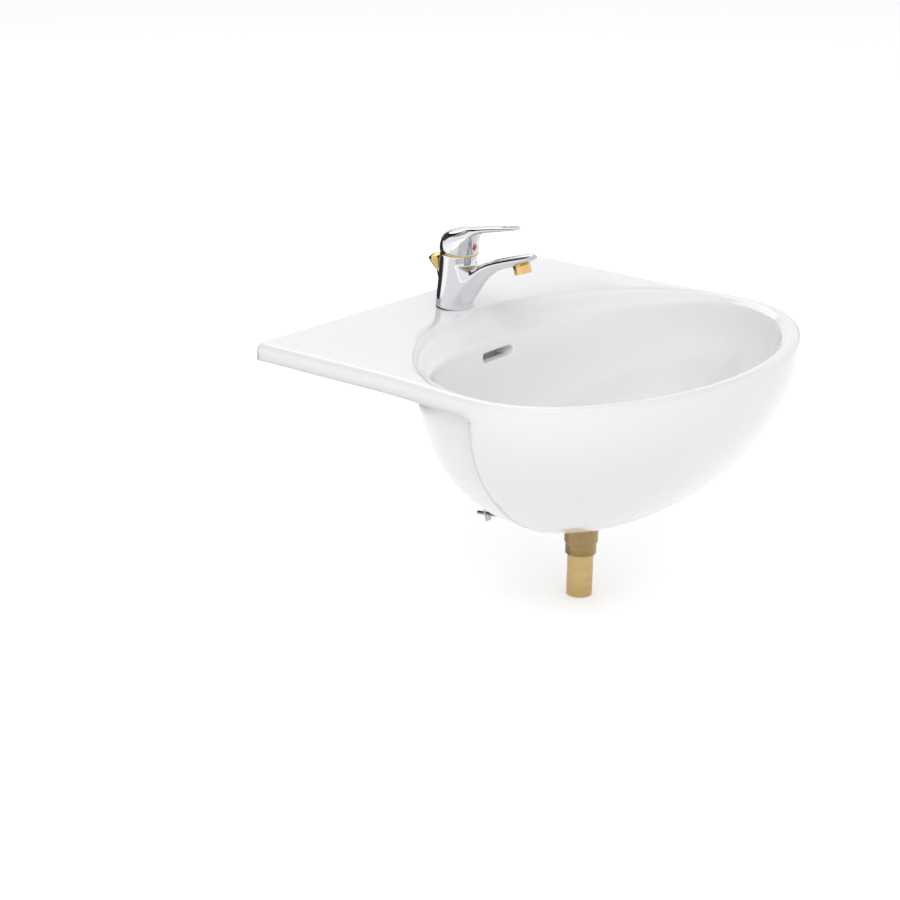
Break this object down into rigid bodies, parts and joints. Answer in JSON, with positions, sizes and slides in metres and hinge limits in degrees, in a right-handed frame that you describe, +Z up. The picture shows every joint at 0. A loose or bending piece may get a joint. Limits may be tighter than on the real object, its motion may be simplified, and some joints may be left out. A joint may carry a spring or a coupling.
{
  "type": "semi recessed basin",
  "caption": "Semi recessed washbasin with an oval bowl that stands out in front of the worktop, a flat rear deck, a single lever mixer and a pop-up waste.",
  "frame": {"origin": "centre line of the deck's flat underside, between the tap hole and the rear edge, where it rests on the worktop", "axes": "+Z up, +X to the right seen from the front, +Y to the rear"},
  "size_m": [0.57, 0.5014, 0.4451],
  "materials": {
    "ceramic_white": "glossy glaze",
    "chrome": "polished",
    "gold": "polished gold plate",
    "brass_raw": "turned",
    "steel": "plain",
    "rubber_black": "matte",
    "plastic_white": "matte",
    "plastic_grey": "matte",
    "index_red": "glossy",
    "index_blue": "glossy"
  },
  "bodies": {
    "basin": {"basin_body": "ceramic_white", "tap_body": "chrome", "tap_gasket": "rubber_black", "trim_ring": "gold", "cartridge_seal": "rubber_black", "cartridge_body": "plastic_white", "cartridge_nut": "brass_raw", "aerator_shell": "gold", "aerator_insert": "plastic_white", "aerator_washer": "rubber_black", "horseshoe_rubber": "rubber_black", "horseshoe_plate": "steel", "fixing_nut": "brass_raw", "fixing_stud": "steel", "waste_flange": "chrome", "flange_seal": "rubber_black", "waste_body": "brass_raw", "waste_lower_seal": "rubber_black", "waste_washer": "plastic_white", "waste_backnut": "brass_raw", "tailpiece": "brass_raw", "ball_nut": "chrome", "ball_seal": "plastic_white"},
    "swivel": {"swivel_carrier": "plastic_grey", "pivot_pin": "steel"},
    "lever": {"lever_handle": "chrome", "cartridge_stem": "steel", "handle_screw": "steel", "index_hot": "index_red", "index_cold": "index_blue"},
    "lift": {"lift_knob": "gold", "lift_rod": "chrome", "lift_strap": "steel", "strap_clamp": "plastic_grey", "clamp_screw": "steel"},
    "ball": {"ball_rod": "steel"},
    "plug": {"popup_plug": "chrome", "plug_seal": "rubber_black"}
  },
  "joints": [
    {"name": "swivel_turn", "type": "hinge", "parent": "basin", "child": "swivel", "pos_m": [0, -0.0488, 0.07128], "axis": [0, -0.0924, 0.9957], "range_deg": [-45, 45]},
    {"name": "lever_lift", "type": "hinge", "parent": "swivel", "child": "lever", "pos_m": [0, -0.0488, 0.07128], "axis": [-1, 0, 0], "range_deg": [0, 18]},
    {"name": "lift_slide", "type": "slide", "parent": "basin", "child": "lift", "axis": [0, 0.2588, 0.9659], "range_m": [0, 0.036]},
    {"name": "ball_tilt", "type": "hinge", "parent": "basin", "child": "ball", "pos_m": [0, -0.222, -0.22589], "axis": [1, 0, 0], "range_deg": [0, 16.2]},
    {"name": "plug_slide", "type": "slide", "parent": "basin", "child": "plug", "axis": [0, 0, 1], "range_m": [-0.0078, 0]}
  ],
  "couplings": [
    {"joint": "ball_tilt", "follows": "lift_slide", "rad_per_m": 7.788},
    {"joint": "plug_slide", "follows": "lift_slide", "ratio": -0.2117}
  ]
}
